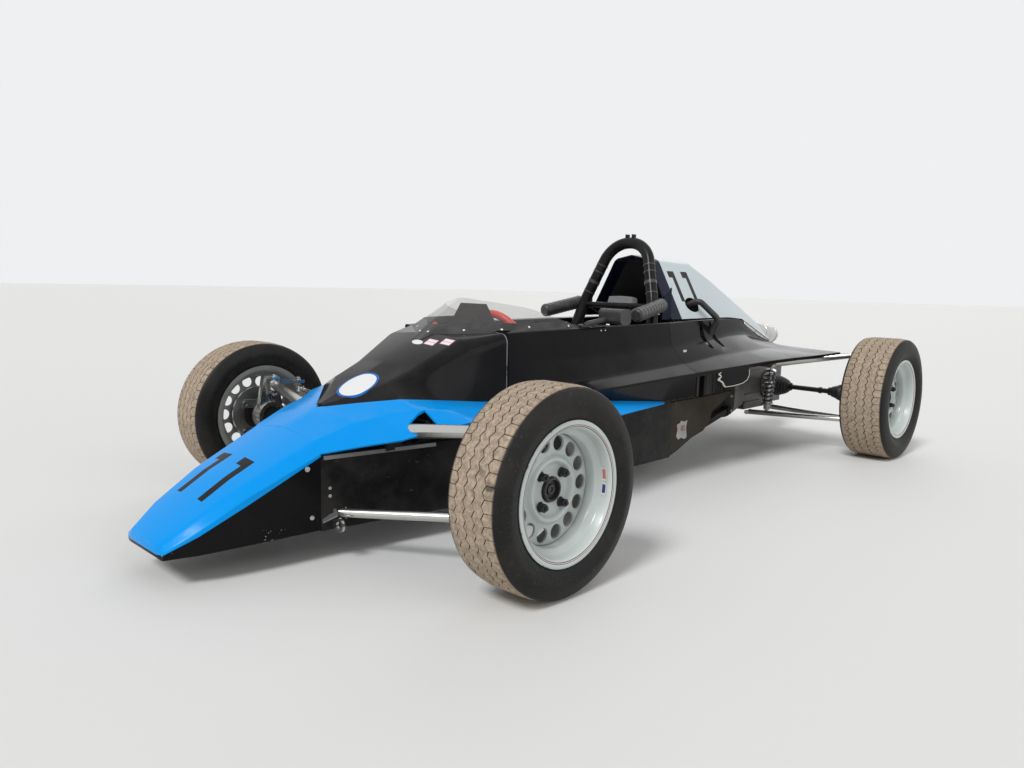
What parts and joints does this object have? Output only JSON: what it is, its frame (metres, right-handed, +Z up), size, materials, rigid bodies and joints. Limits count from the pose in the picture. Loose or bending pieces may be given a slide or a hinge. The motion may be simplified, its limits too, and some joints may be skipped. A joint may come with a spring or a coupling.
{
  "type": "open wheel racing car",
  "caption": "Low wedge-nosed single-seat racing car: exposed wheels on thin suspension arms, open cockpit, clear screen, roll hoop, tall engine cover and flared rear deck.",
  "frame": {"origin": "on the ground, on the car's centre plane, midway along its length", "axes": "+X forward, +Y to the car's left, +Z up"},
  "size_m": [3.46, 1.658, 0.99],
  "materials": {
    "body_blue": "gloss paint over moulded glass fibre",
    "body_black": "gloss paint over moulded glass fibre",
    "cover_white": "gloss paint over moulded glass fibre",
    "skin_black": "satin black riveted sheet",
    "frame_black": "satin black paint on steel tube",
    "hoop_black": "gloss black paint on steel tube",
    "floor_alloy": "scuffed bare sheet",
    "screen_clear": "clear polished sheet with black base strip",
    "seat_shell": "matte moulded shell",
    "headrest_grey": "grey covered foam",
    "pad_tape": "foam tube wound with black tape",
    "dash_black": "matte black panel",
    "grip_red": "red stitched grip",
    "steel_plated": "plated steel tube",
    "steel_dark": "dark steel",
    "alloy_cast": "oily cast alloy",
    "engine_dark": "painted iron block",
    "tank_alloy": "bare sheet tank",
    "exhaust_silver": "spun alloy can, steel pipe",
    "hose_black": "black hose with bright ends",
    "boot_rubber": "black rubber boots on a steel shaft",
    "tyre_dusty": "dusty treaded rubber",
    "wheel_mint": "gloss pale paint on pressed steel",
    "mirror_black": "black housing with glass",
    "lever_black": "black knob on steel rod"
  },
  "bodies": {
    "chassis": {"frame_sides": "frame_black", "frame_cross": "frame_black", "floor_pan": "floor_alloy", "side_skins": "skin_black", "rear_skins": "skin_black", "firewall": "floor_alloy", "nose_cone": "body_blue", "front_fairing": "body_blue", "scuttle": "body_black", "cockpit_sides": "body_black", "rear_deck": "body_black", "engine_cover": "cover_white", "hoop_fairing": "body_black", "screen": "screen_clear", "roll_hoop": "hoop_black", "headrest": "headrest_grey", "hoop_pads": "pad_tape", "seat": "seat_shell", "dashboard": "dash_black", "column_clamp": "alloy_cast", "rack_housing": "alloy_cast", "pedals": "steel_plated", "gear_lever": "lever_black", "mirror_left": "mirror_black", "front_lower_wishbones": "steel_plated", "front_rockers": "steel_plated", "front_dampers": "steel_dark", "rear_uprights": "alloy_cast", "rear_top_arms": "steel_plated", "rear_lower_wishbones": "steel_plated", "rear_dampers": "steel_dark", "engine": "engine_dark", "gearbox": "alloy_cast", "exhaust": "exhaust_silver", "fuel_tank": "tank_alloy", "side_pipe": "hose_black", "front_tow_eye": "steel_plated", "rear_tow_eye": "steel_plated"},
    "knuckle_left": {"knuckle_left": "steel_plated"},
    "knuckle_right": {"knuckle_right": "steel_plated"},
    "steering_rack": {"tie_rods": "steel_plated"},
    "steering": {"steering_wheel": "grip_red", "steering_column": "steel_dark"},
    "driveshaft_left": {"driveshaft_left": "boot_rubber"},
    "driveshaft_right": {"driveshaft_right": "boot_rubber"},
    "wheel_front_left": {"tyre_front_left": "tyre_dusty", "rim_front_left": "wheel_mint", "hub_front_left": "steel_dark"},
    "wheel_front_right": {"tyre_front_right": "tyre_dusty", "rim_front_right": "wheel_mint", "hub_front_right": "steel_dark"},
    "wheel_rear_left": {"tyre_rear_left": "tyre_dusty", "rim_rear_left": "wheel_mint", "hub_rear_left": "steel_dark"},
    "wheel_rear_right": {"tyre_rear_right": "tyre_dusty", "rim_rear_right": "wheel_mint", "hub_rear_right": "steel_dark"}
  },
  "joints": [
    {"name": "steer_left", "type": "hinge", "parent": "chassis", "child": "knuckle_left", "pos_m": [1.03, 0.592, 0.267], "axis": [0, 0, 1], "range_deg": [-18, 18]},
    {"name": "steer_right", "type": "hinge", "parent": "chassis", "child": "knuckle_right", "pos_m": [1.03, -0.592, 0.267], "axis": [0, 0, 1], "range_deg": [-18, 18]},
    {"name": "rack_slide", "type": "slide", "parent": "chassis", "child": "steering_rack", "axis": [0, 1, 0], "range_m": [-0.034, 0.034]},
    {"name": "steering_turn", "type": "hinge", "parent": "chassis", "child": "steering", "pos_m": [0.46, 0, 0.552], "axis": [-0.9112, 0, 0.4119], "range_deg": [-185, 185]},
    {"name": "spin_front_left", "type": "hinge", "parent": "knuckle_left", "child": "wheel_front_left", "pos_m": [1.03, 0.74, 0.267], "axis": [0, 1, 0], "continuous": true},
    {"name": "spin_front_right", "type": "hinge", "parent": "knuckle_right", "child": "wheel_front_right", "pos_m": [1.03, -0.74, 0.267], "axis": [0, 1, 0], "continuous": true},
    {"name": "spin_rear_left", "type": "hinge", "parent": "chassis", "child": "wheel_rear_left", "pos_m": [-1.39, 0.71, 0.28], "axis": [0, 1, 0], "continuous": true},
    {"name": "spin_rear_right", "type": "hinge", "parent": "chassis", "child": "wheel_rear_right", "pos_m": [-1.39, -0.71, 0.28], "axis": [0, 1, 0], "continuous": true},
    {"name": "driveshaft_left_spin", "type": "hinge", "parent": "chassis", "child": "driveshaft_left", "pos_m": [-1.45, 0.15, 0.274], "axis": [0.1343, 0.9909, 0.0117], "continuous": true},
    {"name": "driveshaft_right_spin", "type": "hinge", "parent": "chassis", "child": "driveshaft_right", "pos_m": [-1.45, -0.15, 0.274], "axis": [-0.1343, 0.9909, -0.0117], "continuous": true}
  ],
  "couplings": [
    {"joint": "steer_right", "follows": "steer_left", "ratio": 1},
    {"joint": "rack_slide", "follows": "steer_left", "m_per_rad": -0.105},
    {"joint": "steering_turn", "follows": "steer_left", "ratio": 10},
    {"joint": "driveshaft_left_spin", "follows": "spin_rear_left", "ratio": 1},
    {"joint": "driveshaft_right_spin", "follows": "spin_rear_right", "ratio": 1}
  ]
}
